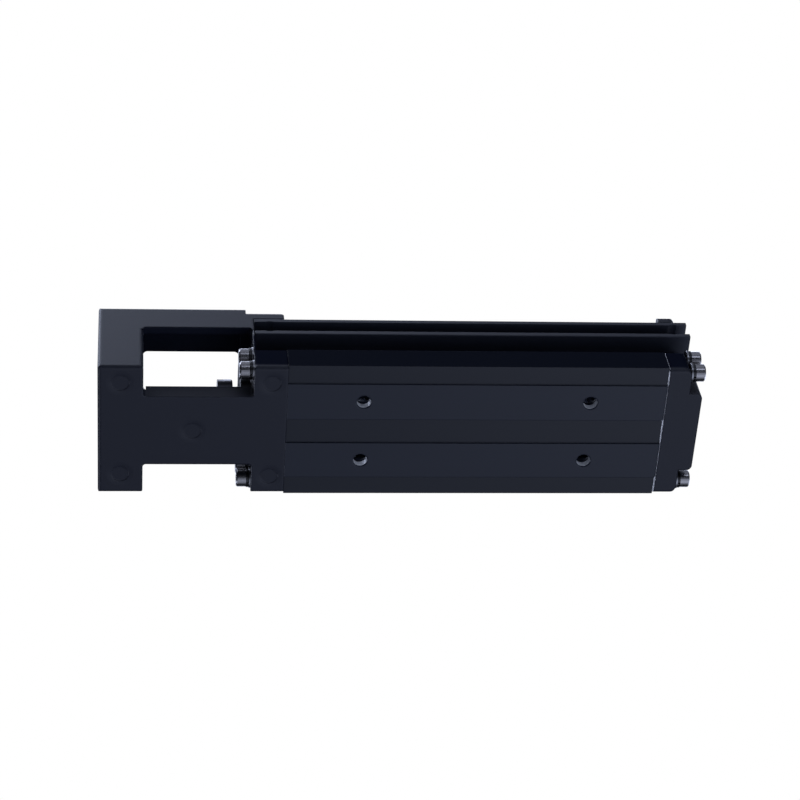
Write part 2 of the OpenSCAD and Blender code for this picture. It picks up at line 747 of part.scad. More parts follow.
module ball_nut() color([0.55, 0.56, 0.58]) {
    h = nut_length / 2;
    difference() {
        rod(nut_d, -h, h);
        rod(screw_d + 2 * play + 0.1, -h - cut, h + cut);
        rod(nut_chamber_d, -ball_zone, ball_zone);
        for (s = [-1, 1]) {
            translate([s * deflector_x, 0, axis_z - nut_d / 2 - cut])
                cylinder(d = deflector_d + 2 * seat, h = nut_d / 2);
            translate([s * lock_screw_x, 0, axis_z + nut_d / 2 - 1])
                cylinder(d = lock_screw_d + 0.2, h = 2);
        }
    }
}

module nut_balls() color([0.78, 0.79, 0.81]) {
    for (i = [0:ball_count - 1]) {
        turn = (i + 0.5) * ball_turns / ball_count - ball_turns / 2;
        translate([turn * lead, 0, axis_z]) rotate([360 * turn, 0, 0])
            translate([0, 0, -pitch_r]) sphere(d = nut_ball_d);
    }
}

module nut_deflectors() color([0.82, 0.8, 0.74]) intersection() {
    for (s = [-1, 1]) translate([s * deflector_x, 0, axis_z - nut_d / 2 + 0.1])
        cylinder(d = deflector_d, h = (nut_d - nut_chamber_d) / 2 - 0.1);
    ring(nut_d - 0.1, nut_chamber_d + 0.1, -nut_length / 2, nut_length / 2);
}

module nut_lock_screws() color([0.2, 0.2, 0.21]) {
    for (s = [-1, 1]) translate([s * lock_screw_x, 0, axis_z + nut_d / 2 - 0.9]) {
        height = block_top - axis_z - nut_d / 2 + 0.5;
        difference() {
            cylinder(d = lock_screw_d, h = height);
            translate([0, 0, height - 1.8]) cylinder(d = 2 / cos(30), h = 3, $fn = 6);
        }
    }
}

// ---- Carriage ----

// Section of the carriage block: narrow between the walls, wider above them
module block_outline(inset = 0) {
    b = block_half - inset;
    u = block_upper_half - inset;
    z0 = block_low + inset;
    z1 = block_top - inset;
    polygon([[-b + 1, z0], [b - 1, z0], [b, z0 + 1], [b, block_shelf + inset],
        [u, block_shelf + inset], [u, z1], [-u, z1], [-u, block_shelf + inset],
        [-b, block_shelf + inset], [-b, z0 + 1]]);
}

module carriage_block() color([0.5, 0.51, 0.53]) {
    h = block_length / 2;
    difference() {
        along_x(-h, h) difference() {
            block_outline();
            for (s = [-1, 1], z = row_z) {
                translate([s * row_y, z]) circle(row_groove);
                translate([s * return_y, z + return_rise]) circle(row_groove);
            }
        }
        rod(nut_d + 2 * fit, -h - cut, h + cut);
        for (s = [-1, 1]) translate([s * lock_screw_x, 0, axis_z])
            cylinder(d = lock_screw_d + 0.2, h = block_top);
        for (x = [-1, 1], y = [-1, 1])
            translate([x * table_screw_x, y * table_screw_y, block_top - 7.5])
                cylinder(d = m4_tap, h = 8 + cut);
        for (p = cap_screw_places, e = [-1, 1])
            rod(cap_screw_d - 0.4, e > 0 ? h - 8 : -h - cut, e > 0 ? h + cut : -h + 8, p[0], p[1]);
    }
}

// Guide balls in their two rows on one side
module guide_row(side) {
    n = floor(row_length / row_ball_pitch);
    for (z = row_z, i = [0:n - 1])
        translate([(i - (n - 1) / 2) * row_ball_pitch, side * row_y, z]) sphere(d = guide_ball_d);
}

module guide_balls_left() color([0.78, 0.79, 0.81]) guide_row(-1);
module guide_balls_right() color([0.78, 0.79, 0.81]) guide_row(1);

// Plastic cap that turns the guide balls round at one end of the block
module return_cap(side) {
    x0 = side * block_length / 2;
    x1 = x0 + side * cap_length;
    depth = guide_ball_d + 0.4;
    difference() {
        along_x(min(x0, x1), max(x0, x1)) block_outline(cap_inset);
        rod(screw_d + 2, min(x0, x1) - cut, max(x0, x1) + cut);
        for (p = cap_screw_places)
            rod(cap_screw_d + 0.3, min(x0, x1) - cut, max(x0, x1) + cut, p[0], p[1]);
        for (s = [-1, 1], z = row_z)
            along_x(min(x0 - side * cut, x0 + side * depth), max(x0 - side * cut, x0 + side * depth)) {
                dy = row_y - return_y;
                translate([s * row_y, z]) circle(row_groove);
                translate([s * return_y, z + return_rise]) circle(row_groove);
                translate([s * return_y, z + return_rise]) rotate(s > 0 ? atan2(-return_rise, dy)
                    : 180 + atan2(return_rise, dy))
                    translate([0, -row_groove]) square([norm([dy, return_rise]), 2 * row_groove]);
            }
        if (side > 0) rod(3, x1 - 5, x1 + cut, nipple_y, nipple_z);
    }
}

module return_cap_front() color([0.12, 0.13, 0.14]) return_cap(-1);
module return_cap_rear() color([0.12, 0.13, 0.14]) return_cap(1);

// Rubber wiper outside a cap
module wiper(side) {
    x0 = side * (block_length / 2 + cap_length);
    x1 = x0 + side * wiper_length;
    difference() {
        along_x(min(x0, x1), max(x0, x1)) block_outline(0.1);
        rod(screw_d + 2 * play, min(x0, x1) - cut, max(x0, x1) + cut);
        for (p = cap_screw_places)
            rod(cap_screw_d + 0.3, min(x0, x1) - cut, max(x0, x1) + cut, p[0], p[1]);
        if (side > 0) rod(5.4, x0 - cut, x1 + cut, nipple_y, nipple_z);
    }
}

module wiper_front() color([0.07, 0.07, 0.07]) wiper(-1);
module wiper_rear() color([0.07, 0.07, 0.07]) wiper(1);

module cap_screws() color([0.2, 0.2, 0.21]) {
    x0 = block_length / 2 + cap_length + wiper_length;
    for (p = cap_screw_places, e = [0, 1]) mirror([e, 0, 0]) difference() {
        union() {
            rod(cap_head_d, x0, x0 + cap_head, p[0], p[1]);
            rod(cap_screw_d - 0.5, block_length / 2 - 7, x0 + 0.1, p[0], p[1]);
        }
        hex_rod(1.5, x0 + 0.5, x0 + 3, p[0], p[1]);
    }
}

module grease_nipple() color([0.7, 0.6, 0.35]) {
    x0 = block_length / 2 + cap_length;
    difference() {
        union() {
            rod(2.9, x0 - 4.8, x0 + 0.1, nipple_y, nipple_z);
            hex_rod(4.4, x0, x0 + 1.8, nipple_y, nipple_z);
            cone(2.6, 1.8, x0 + 1.8, x0 + 2.7, nipple_y, nipple_z);
            cone(1.8, 2.6, x0 + 2.7, x0 + 3.2, nipple_y, nipple_z);
            cone(2.6, 1.6, x0 + 3.2, x0 + 4.2, nipple_y, nipple_z);
        }
        rod(0.8, x0 - 6, x0 + 6, nipple_y, nipple_z);
    }
}

module table_plate() color([0.72, 0.73, 0.75]) {
    difference() {
        intersection() {
            along_x(-table_length / 2, table_length / 2)
                round_rect(-table_width / 2, block_top, table_width / 2, table_top, 0.6);
            along_z(block_top, table_top) round_rect(-table_length / 2, -table_width / 2,
                table_length / 2, table_width / 2, 1.5);
        }
        for (x = [-1, 1], y = [-1, 1]) {
            translate([x * table_screw_x, y * table_screw_y, block_top - cut])
                cylinder(d = m4_clear, h = table_thickness + 2 * cut);
            translate([x * table_screw_x, y * table_screw_y, table_top - m4_head - 0.4])
                cylinder(d = m4_head_d + 0.6, h = m4_head + cut);
            translate([x * table_pitch_x / 2, y * table_pitch_y / 2, block_top - cut])
                cylinder(d = 4.2, h = table_thickness + 2 * cut);
        }
    }
}

module table_screws() color([0.16, 0.16, 0.17]) {
    seat_z = table_top - m4_head - 0.4;
    for (x = [-1, 1], y = [-1, 1]) translate([x * table_screw_x, y * table_screw_y, seat_z])
        difference() {
            union() {
                cylinder(d = m4_head_d, h = m4_head);
                translate([0, 0, -10]) cylinder(d = m4_tap - 0.1, h = 10.1);
            }
            translate([0, 0, m4_head - 2.2]) cylinder(d = m4_hex / cos(30), h = 3, $fn = 6);
        }
}

// Rubber ring on each boss, which stops the carriage
module stop_bumper_front() color([0.1, 0.1, 0.1])
    ring(bumper_d, bumper_bore, x_boss, x_boss + bumper_length);
module stop_bumper_rear() color([0.1, 0.1, 0.1])
    ring(bumper_d, bumper_bore, x_base - boss_length - bumper_length, x_base - boss_length);

base_rail();
motor_bracket();
end_plate();
sensor_rail();
sensor_rail_screws();
bracket_screws();
bracket_spring_washers();
bracket_flat_washers();
end_plate_screws();
end_plate_spring_washers();
end_plate_flat_washers();
screw_shaft();
lock_nut();
lock_nut_set_screw();
spacer_collar();
bearing_cover();
bearing_cover_screws();
cover_seal();
fixed_bearing_outer_rings();
fixed_bearing_inner_rings();
fixed_bearing_balls();
fixed_bearing_cages();
support_bearing_outer_ring();
support_bearing_inner_ring();
support_bearing_balls();
support_bearing_cage();
shaft_circlip();
ball_nut();
nut_balls();
nut_deflectors();
nut_lock_screws();
carriage_block();
guide_balls_left();
guide_balls_right();
return_cap_front();
return_cap_rear();
cap_screws();
wiper_front();
wiper_rear();
grease_nipple();
table_plate();
table_screws();
stop_bumper_front();
stop_bumper_rear();
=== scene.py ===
"""Looks of the ball screw linear module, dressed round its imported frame.

Every node keeps its solid from the frame, apart from the screw shaft, which a finer surface
with the real ball track replaces. Lengths are in metres, in the frame of the part: X runs along
the screw away from the motor, Z from the mounting face to the table, and the sensor rail is on
the side of negative Y.
"""

import logging
import math
from dataclasses import dataclass, field
from enum import Enum

import bpy
import numpy as np
from mathutils import Matrix, Vector


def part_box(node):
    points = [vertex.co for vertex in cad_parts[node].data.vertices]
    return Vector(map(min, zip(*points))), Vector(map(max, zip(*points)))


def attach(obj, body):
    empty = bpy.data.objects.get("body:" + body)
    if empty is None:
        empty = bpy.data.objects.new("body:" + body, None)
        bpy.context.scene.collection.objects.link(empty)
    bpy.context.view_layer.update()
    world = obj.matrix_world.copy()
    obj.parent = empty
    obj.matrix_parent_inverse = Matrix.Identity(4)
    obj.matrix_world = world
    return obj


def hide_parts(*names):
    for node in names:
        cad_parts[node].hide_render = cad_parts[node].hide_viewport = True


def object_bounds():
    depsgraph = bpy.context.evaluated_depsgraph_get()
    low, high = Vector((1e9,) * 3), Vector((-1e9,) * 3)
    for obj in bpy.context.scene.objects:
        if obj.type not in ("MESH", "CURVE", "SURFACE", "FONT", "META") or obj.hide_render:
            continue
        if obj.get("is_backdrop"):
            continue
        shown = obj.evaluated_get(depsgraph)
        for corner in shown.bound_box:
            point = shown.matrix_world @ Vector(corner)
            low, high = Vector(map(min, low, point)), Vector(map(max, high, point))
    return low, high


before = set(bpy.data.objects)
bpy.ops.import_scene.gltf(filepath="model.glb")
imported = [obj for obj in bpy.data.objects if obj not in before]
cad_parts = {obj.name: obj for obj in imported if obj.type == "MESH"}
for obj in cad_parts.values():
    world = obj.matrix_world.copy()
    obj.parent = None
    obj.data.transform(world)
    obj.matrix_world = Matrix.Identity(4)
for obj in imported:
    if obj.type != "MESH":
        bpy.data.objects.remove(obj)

log = logging.getLogger("linear_module")
MM = 0.001
COOL_WHITE = (0.71, 0.785, 1.0)
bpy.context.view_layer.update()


class Body(Enum):
    """The bodies of the frame that a new piece can ride on."""

    BASE = "base"
    SCREW = "screw"
    CARRIAGE = "carriage"


class Along(Enum):
    """The direction of a machining pattern: its name gives the axis that it runs along."""

    X = (0.04, 1.0, 1.0)
    Y = (1.0, 0.04, 1.0)
    Z = (1.0, 1.0, 0.04)
    NONE = (1.0, 1.0, 1.0)


# ---- Shader expressions ----


class Value:
    """A number that comes out of a shader node, for use in ordinary sums."""

    def __init__(self, net: "Net", socket: bpy.types.NodeSocket) -> None:
        """Keeps the node tree's wrapper and the socket."""
        self.net = net
        self.socket = socket

    def math(self, operation: str, other: "Value | float" = 0.0, third: float = 0.0) -> "Value":
        """Adds one Math node.

        Args:
            operation: The Math node's operation.
            other: Its second value.
            third: Its third value.

        Returns:
            The node's result.
        """
        return self.net.node("ShaderNodeMath", {"operation": operation}, {0: self, 1: other, 2: third})

    def __add__(self, other: "Value | float") -> "Value":
        """Sum."""
        return self.math("ADD", other)

    __radd__ = __add__

    def __sub__(self, other: "Value | float") -> "Value":
        """Difference."""
        return self.math("SUBTRACT", other)

    def __rsub__(self, other: float) -> "Value":
        """Difference from a plain number."""
        return self.net.node("ShaderNodeMath", {"operation": "SUBTRACT"}, {0: other, 1: self})

    def __mul__(self, other: "Value | float") -> "Value":
        """Product."""
        return self.math("MULTIPLY", other)

    __rmul__ = __mul__

    def __truediv__(self, other: "Value | float") -> "Value":
        """Quotient."""
        return self.math("DIVIDE", other)

    def __abs__(self) -> "Value":
        """Size without its sign."""
        return self.math("ABSOLUTE")

    def __pow__(self, other: float) -> "Value":
        """Power."""
        return self.math("POWER", other)

    def ramp(self, low: float, high: float) -> "Value":
        """Rises smoothly from 0 at low to 1 at high, or falls where low is the larger.

        Args:
            low: The value that gives 0.
            high: The value that gives 1.

        Returns:
            The smooth step.
        """
        if low < high:
            return self.net.node(
                "ShaderNodeMapRange", {"interpolation_type": "SMOOTHSTEP"}, {0: self, 1: low, 2: high}
            )
        return 1.0 - self.ramp(high, low)

    def near(self, middle: float, half: float, soft: float) -> "Value":
        """1 within half of middle, falling to 0 over soft outside it."""
        return abs(self - middle).ramp(half + soft, half)


class Net:
    """A node tree, with one method that makes any node."""

    def __init__(self, tree: bpy.types.NodeTree) -> None:
        """Empties the tree and keeps it."""
        self.tree = tree
        tree.nodes.clear()

    def node(
        self, kind: str, settings: dict | None = None, inputs: dict | None = None, out: int | str = 0
    ) -> Value:
        """Makes one node.

        Args:
            kind: The node's type.
            settings: Its own settings, which are set first.
            inputs: Values or links of its sockets, by number or name.
            out: The output that is returned.

        Returns:
            That output.
        """
        made = self.tree.nodes.new(kind)
        for name, value in (settings or {}).items():
            setattr(made, name, value)
        for name, value in (inputs or {}).items():
            if isinstance(value, Value):
                self.tree.links.new(value.socket, made.inputs[name])
            else:
                made.inputs[name].default_value = value
        return Value(self, made.outputs[out] if made.outputs else None)

    def mix(self, factor: Value | float, first: "Value | tuple", second: "Value | tuple") -> Value:
        """A colour between two others."""
        return self.node(
            "ShaderNodeMix",
            {"data_type": "RGBA"},
            {0: factor, 6: self.colour(first), 7: self.colour(second)},
            out=2,
        )

    def vector(
        self, operation: str, first: Value, second: "Value | tuple" = (0, 0, 0), out: int = 0
    ) -> Value:
        """Adds one Vector Math node."""
        return self.node("ShaderNodeVectorMath", {"operation": operation}, {0: first, 1: second}, out)

    def split(self, vector: Value) -> tuple[Value, Value, Value]:
        """The three parts of a vector."""
        made = self.node("ShaderNodeSeparateXYZ", None, {0: vector})
        return tuple(Value(self, socket) for socket in made.socket.node.outputs)

    @staticmethod
    def colour(value: "Value | tuple") -> "Value | tuple":
        """Gives a plain colour its fourth number."""
        return value if isinstance(value, Value) else (*value, 1.0)

    def place(self) -> Value:
        """The place of a point on the part."""
        return self.node("ShaderNodeTexCoord", out="Object")

    def facing(self) -> tuple[Value, Value, Value]:
        """The three parts of the true surface direction."""
        normal = self.node("ShaderNodeNewGeometry", out="True Normal")
        turned = self.node(
            "ShaderNodeVectorTransform",
            {"vector_type": "NORMAL", "convert_from": "WORLD", "convert_to": "OBJECT"},
            {0: normal},
        )
        return self.split(turned)

    def noise(
        self, per_mm: float, stretch: Along = Along.NONE, detail: float = 3.0, rough: float = 0.55
    ) -> Value:
        """Soft noise.

        Args:
            per_mm: How many grains fit in a millimetre.
            stretch: The direction along which the grains are drawn out.
            detail: The number of finer layers.
            rough: The weight of the finer layers.

        Returns:
            A value round 0.5.
        """
        scaled = self.node("ShaderNodeMapping", None, {0: self.place(), 3: stretch.value})
        return self.node(
            "ShaderNodeTexNoise",
            None,
            {"Vector": scaled, "Scale": per_mm / MM, "Detail": detail, "Roughness": rough},
        )

    def edges(self, radius: float) -> tuple[Value, Value]:
        """Rounds the edges that light sees.

        Args:
            radius: The edge's radius.

        Returns:
            The rounded direction, and a mask that is 1 on the edge.
        """
        rounded = self.node("ShaderNodeBevel", {"samples": 6}, {"Radius": radius})
        flat = self.node("ShaderNodeNewGeometry", out="True Normal")
        same = self.node("ShaderNodeVectorMath", {"operation": "DOT_PRODUCT"}, {0: rounded, 1: flat}, out=1)
        return rounded, same.ramp(0.995, 0.8)


# ---- Finishes ----


@dataclass(frozen=True)
class Finish:
    """One surface finish.

    Attributes:
        colour: Its colour, linear.
        rough: Its roughness.
        metal: 1 for bare metal.
        level: Strength of the gloss.
        grain: Grains of the fine texture in a millimetre.
        grain_height: Depth of that texture.
        along: The direction that the texture is drawn out in.
        mottle: How much the colour varies.
        edge_radius: Radius that the light sees on edges.
        edge_colour: Colour of worn edges.
        edge_wear: How far the edges are worn.
        edge_polish: How much smoother the edges are.
    """

    colour: tuple[float, float, float]
    rough: float = 0.45
    metal: float = 0.0
    level: float = 0.5
    grain: float = 2.5
    grain_height: float = 0.01 * MM
    along: Along = Along.NONE
    mottle: float = 0.15
    edge_radius: float = 0.3 * MM
    edge_colour: tuple[float, float, float] = (0.2, 0.2, 0.22)
    edge_wear: float = 0.1
    edge_polish: float = 0.0

    def tint(self, net: Net, colour: Value) -> Value:
        """Changes the colour over the surface; a plain finish leaves it."""
        return colour

    def gloss(self, net: Net, rough: Value) -> Value:
        """Changes the roughness over the surface; a plain finish leaves it."""
        return rough

    def relief(self, net: Net, height: Value) -> Value:
        """Adds to the surface's height in metres; a plain finish adds nothing."""
        return height

    def bare(self, net: Net) -> Value | float:
        """Where the surface is metal: 1 for bare metal, 0 for a coating."""
        return self.metal

    def matt(self, net: Net) -> Value | None:
        """Where the surface has no gloss; a plain finish has gloss everywhere."""
        return None

    def shaded(self, name: str) -> bpy.types.Material:
        """Makes the material.

        Args:
            name: The material's name.

        Returns:
            The finished material.
        """
        made = bpy.data.materials.new(name)
        made.use_nodes = True
        net = Net(made.node_tree)
        normal, edge = net.edges(self.edge_radius)
        fine = net.noise(self.grain, self.along)
        broad = net.noise(0.12, self.along, detail=2.0)
        shade = (fine * 0.35 + broad * 0.65 - 0.5) * (2.0 * self.mottle) + 1.0
        grey = net.node("ShaderNodeCombineXYZ", None, {0: shade, 1: shade, 2: shade})
        base = net.node(
            "ShaderNodeMix",
            {"data_type": "RGBA", "blend_type": "MULTIPLY"},
            {0: 1.0, 6: (*self.colour, 1.0), 7: grey},
            out=2,
        )
        worn = edge * net.noise(1.4, detail=4.0).ramp(0.4, 0.62) * self.edge_wear
        colour = net.mix(worn, self.tint(net, base), self.edge_colour)
        rough = self.gloss(net, fine * 0.16 + (self.rough - 0.08) - edge * self.edge_polish)
        height = self.relief(net, (fine - 0.5) * self.grain_height)
        bump = net.node(
            "ShaderNodeBump", None, {"Strength": 1.0, "Distance": 1.0, "Height": height, "Normal": normal}
        )
        shader = net.node(
            "ShaderNodeBsdfPrincipled",
            None,
            {
                "Base Color": colour,
                "Roughness": rough,
                "Metallic": self.bare(net),
                "Specular IOR Level": self.level,
                "Normal": bump,
            },
        )
        dull = self.matt(net)
        if dull is not None:
            flat = {"Base Color": colour, "Roughness": 1.0, "Specular IOR Level": 0.0, "Normal": bump}
            plain = net.node("ShaderNodeBsdfPrincipled", None, flat)
            shader = net.node("ShaderNodeMixShader", None, {0: dull, 1: shader, 2: plain})
        net.node("ShaderNodeOutputMaterial", None, {0: shader})
        return made


@dataclass(frozen=True)
class CastPaint(Finish):
    """Black paint on a die casting, with bare metal where it was machined afterwards.

    Attributes:
        flank: Where the flank beside the rail starts and ends along X.
        flank_z: Heights between which the flank is left dull.
        dull: How far the gloss is gone on the flanks.
        marks: Places of the ejector pins' marks along X and Y.
        mark_r: Radius of a mark, with its soft rim.
        mark_soft: Width of that rim.
        mark_depth: Depth of a mark.
        foot_z: Heights between which the marks come in, towards the mounting face.
        ceiling_z: Heights between which the ceilings begin.
        ceiling_dull: How far the gloss is gone on the ceilings.
        joint: Where the bare face against the rail starts and ends along X.
        bare_colour: Colour of bare machined metal.
    """

    colour: tuple[float, float, float] = (0.0098, 0.0124, 0.025)
    rough: float = 0.5
    level: float = 0.5
    grain: float = 1.6
    grain_height: float = 0.008 * MM
    mottle: float = 0.08
    edge_radius: float = 1.0 * MM
    edge_wear: float = 0.03
    edge_polish: float = 0.25
    flank: tuple[float, float] = (-88.4 * MM, 85 * MM)
    flank_z: tuple[float, float] = (3.0 * MM, 24 * MM)
    dull: float = 0.98
    marks: tuple[tuple[float, float], ...] = ()
    mark_r: float = 5.8 * MM
    mark_soft: float = 3.0 * MM
    mark_depth: float = 0.15 * MM
    foot_z: tuple[float, float] = (1.0 * MM, 0.5 * MM)
    ceiling_z: tuple[float, float] = (18 * MM, 20 * MM)
    ceiling_dull: float = 0.8
    joint: tuple[float, float] = (74.9 * MM, 75.5 * MM)
    bare_colour: tuple[float, float, float] = (0.8, 0.8, 0.82)

    def flanks(self, net: Net) -> Value:
        """Mask of the dull flanks beside the rail."""
        x, _, z = net.split(net.place())
        _, ny, _ = net.facing()
        middle, half = sum(self.flank) / 2, (self.flank[1] - self.flank[0]) / 2
        low, high = self.flank_z
        tall = z.ramp(low - 2.5 * MM, low) * z.ramp(high + 0.5 * MM, high)
        return x.near(middle, half, 0.1 * MM) * abs(ny).ramp(0.5, 0.9) * tall

    def bared(self, net: Net) -> Value:
        """Mask of the machined face that looks at the rail."""
        x, _, _ = net.split(net.place())
        nx, _, _ = net.facing()
        middle, half = sum(self.joint) / 2, (self.joint[1] - self.joint[0]) / 2
        return x.near(middle, half, 0.03 * MM) * nx.ramp(-0.3, -0.6)

    def tint(self, net: Net, colour: Value) -> Value:
        """Bare joint face."""
        return net.mix(self.bared(net), colour, self.bare_colour)

    def relief(self, net: Net, height: Value) -> Value:
        """Soft hollows where the ejector pins pushed, on the faces that look down."""
        x, y, z = net.split(net.place())
        foot = z.ramp(*self.foot_z) * self.mark_depth
        for along, across in self.marks:
            off_x, off_y = x - along, y - across
            reach = (off_x * off_x + off_y * off_y).math("SQRT")
            height = height - reach.ramp(self.mark_r, self.mark_r - self.mark_soft) * foot
        return height

    def bare(self, net: Net) -> Value:
        """The joint face is bare metal."""
        return self.bared(net)

    def matt(self, net: Net) -> Value:
        """The flanks and the ceilings are dull."""
        _, _, z = net.split(net.place())
        ceiling = net.facing()[2].ramp(-0.4, -0.8) * z.ramp(*self.ceiling_z) * self.ceiling_dull
        return (self.flanks(net) * (1.0 - self.bared(net)) * self.dull).math("MAXIMUM", ceiling)


@dataclass(frozen=True)
class RailBlack(Finish):
    """Black treated steel of the guide rail, ground along its length.

    Attributes:
        dull: How far the gloss is gone on the unground sides.
        pad_y: Distance of the pads' middles from the middle of the rail, and half their width.
        pad_gain: How much lighter the pads are than the bands beside them.
        hole: Places of the mounting holes along X and Y.
        hole_r: Radius of the mounting holes.
        bare_colour: Colour of the bare metal in the holes.
    """

    colour: tuple[float, float, float] = (0.0098, 0.0125, 0.022)
    rough: float = 0.34
    level: float = 0.42
    grain: float = 5.0
    grain_height: float = 0.002 * MM
    along: Along = Along.X
    mottle: float = 0.1
    edge_radius: float = 0.4 * MM
    edge_wear: float = 0.03
    dull: float = 0.95
    pad_y: tuple[float, float] = (13.7 * MM, 8.1 * MM)
    pad_gain: float = 0.6
    hole: tuple[float, float] = (45 * MM, 13.7 * MM)
    hole_r: float = 2.75 * MM
    bare_colour: tuple[float, float, float] = (0.75, 0.76, 0.78)

    def sides(self, net: Net) -> Value:
        """Mask of the sides."""
        return abs(net.facing()[1]).ramp(0.5, 0.9)

    def holes(self, net: Net) -> Value:
        """Mask of the mounting holes' walls."""
        x, y, _ = net.split(net.place())
        across, along = abs(y) - self.hole[1], abs(x) - self.hole[0]
        reach = (across * across + along * along).math("SQRT")
        near = reach.ramp(self.hole_r + 0.15 * MM, self.hole_r + 0.05 * MM)
        return near * abs(net.facing()[2]).ramp(0.4, 0.2)

    def tint(self, net: Net, colour: Value) -> Value:
        """Lighter pads and bare metal in the holes."""
        _, y, _ = net.split(net.place())
        pad = abs(y).near(self.pad_y[0], self.pad_y[1], 0.05 * MM) * self.pad_gain + 1.0
        padded = net.node("ShaderNodeVectorMath", {"operation": "SCALE"}, {0: colour, "Scale": pad})
        return net.mix(self.holes(net), padded, self.bare_colour)

    def matt(self, net: Net) -> Value:
        """The sides have lost their gloss."""
        return self.sides(net) * self.dull


@dataclass(frozen=True)
class Anodised(Finish):
    """Black anodised profile, drawn along X."""

    colour: tuple[float, float, float] = (0.024, 0.028, 0.044)
    rough: float = 0.5
    level: float = 0.5
    grain: float = 5.0
    grain_height: float = 0.0015 * MM
    along: Along = Along.X
    mottle: float = 0.1
    edge_radius: float = 0.25 * MM
    edge_wear: float = 0.05


@dataclass(frozen=True)
class Rubbed(Finish):
    """Black oxide steel of the corner screws and washers, with the oxide rubbed thin."""

    colour: tuple[float, float, float] = (0.3, 0.29, 0.29)
    rough: float = 0.25
    metal: float = 1.0
    edge_wear: float = 0.3
    edge_colour: tuple[float, float, float] = (0.6, 0.6, 0.6)


@dataclass(frozen=True)
class SocketHead(Rubbed):
    """The corner screws, with straight knurling round the heads.

    Attributes:
        across: Distance of the screws' axes from the middle.
        low: Height of the lower row.
        high: Height of the upper row.
        ridges: Number of ridges round a head.
        knurl_depth: Depth of the knurling.
    """

    across: float = 25.4 * MM
    low: float = 4.6 * MM
    high: float = 14.0 * MM
    ridges: int = 36
    knurl_depth: float = 0.015 * MM

    def relief(self, net: Net, height: Value) -> Value:
        """Ridges are a cosine of the angle round the nearest screw, on the head's side only."""
        x, y, z = net.split(net.place())
        nx, _, _ = net.facing()
        row = (z - (self.low + self.high) / 2).math("GREATER_THAN")
        up = z - self.low - row * (self.high - self.low)
        out = abs(y) - self.across
        angle = up.math("ARCTAN2", out)
        reach = (up * up + out * out).math("SQRT")
        ridge = (angle * float(self.ridges)).math("COSINE") * (0.5 * self.knurl_depth)
        return height + ridge * abs(nx).ramp(0.5, 0.2) * reach.ramp(3.3 * MM, 3.45 * MM)


@dataclass(frozen=True)
class GroundSteel(Finish):
    """Bright ground steel."""

    colour: tuple[float, float, float] = (0.56, 0.57, 0.6)
    rough: float = 0.25
    metal: float = 1.0
    grain: float = 4.0
    grain_height: float = 0.001 * MM
    mottle: float = 0.08
    edge_colour: tuple[float, float, float] = (0.75, 0.75, 0.77)
    edge_wear: float = 0.6


@dataclass(frozen=True)
class TrackSteel(GroundSteel):
    """Ground steel of the screw, darker and oily in the ball track.

    Attributes:
        across: Radius outside of which the surface is the land between the tracks.
        axis_z: Height of the screw's axis.
        middle: Place along X of the middle of the track.
        half: Half the length of the track.
        oiled: How far the track takes the oil's colour.
        oil_colour: Colour of the oily track.
    """

    across: float = 5.9 * MM
    axis_z: float = 22.3 * MM
    middle: float = 2.45 * MM
    half: float = 71.6 * MM
    oiled: float = 0.55
    oil_colour: tuple[float, float, float] = (0.22, 0.2, 0.17)

    def tint(self, net: Net, colour: Value) -> Value:
        """Darker below the land, by distance from the axis."""
        x, y, z = net.split(net.place())
        up = z - self.axis_z
        reach = (up * up + y * y).math("SQRT")
        deep = reach.ramp(self.across, self.across - 0.3 * MM)
        track = deep * abs(x - self.middle).ramp(self.half, self.half - 0.4 * MM)
        return net.mix(track * self.oiled, colour, self.oil_colour)


@dataclass(frozen=True)
class Machined(Finish):
    """Turned or milled metal with tool marks along one direction."""

    colour: tuple[float, float, float] = (0.5, 0.51, 0.53)
    rough: float = 0.33
    metal: float = 1.0
    grain: float = 6.0
    grain_height: float = 0.002 * MM
    along: Along = Along.Y
    mottle: float = 0.1
    edge_colour: tuple[float, float, float] = (0.8, 0.8, 0.82)
    edge_wear: float = 0.6


@dataclass(frozen=True)
class Moulded(Finish):
    """Moulded plastic or rubber with a fine texture."""

    rough: float = 0.55
    grain: float = 5.0
    grain_height: float = 0.006 * MM
    mottle: float = 0.08
    edge_radius: float = 0.2 * MM
    edge_wear: float = 0.0


# ---- Meshes ----


def grid_faces(rows: int, around: int) -> np.ndarray:
    """Quads between the rings of a closed tube.

    Point (i, j) of a grid of rows by around has the number i * around + j. A quad joins it to its
    neighbours in the next ring and round the ring, and the last point of a ring meets the first.

    Args:
        rows: Number of rings.
        around: Points in a ring.

    Returns:
        One row of four point numbers for each quad.
    """
    i, j = np.meshgrid(np.arange(rows - 1), np.arange(around), indexing="ij")
    here, beside = i * around + j, i * around + (j + 1) % around
    return np.stack([here, here + around, beside + around, beside], axis=-1).reshape(-1, 4)


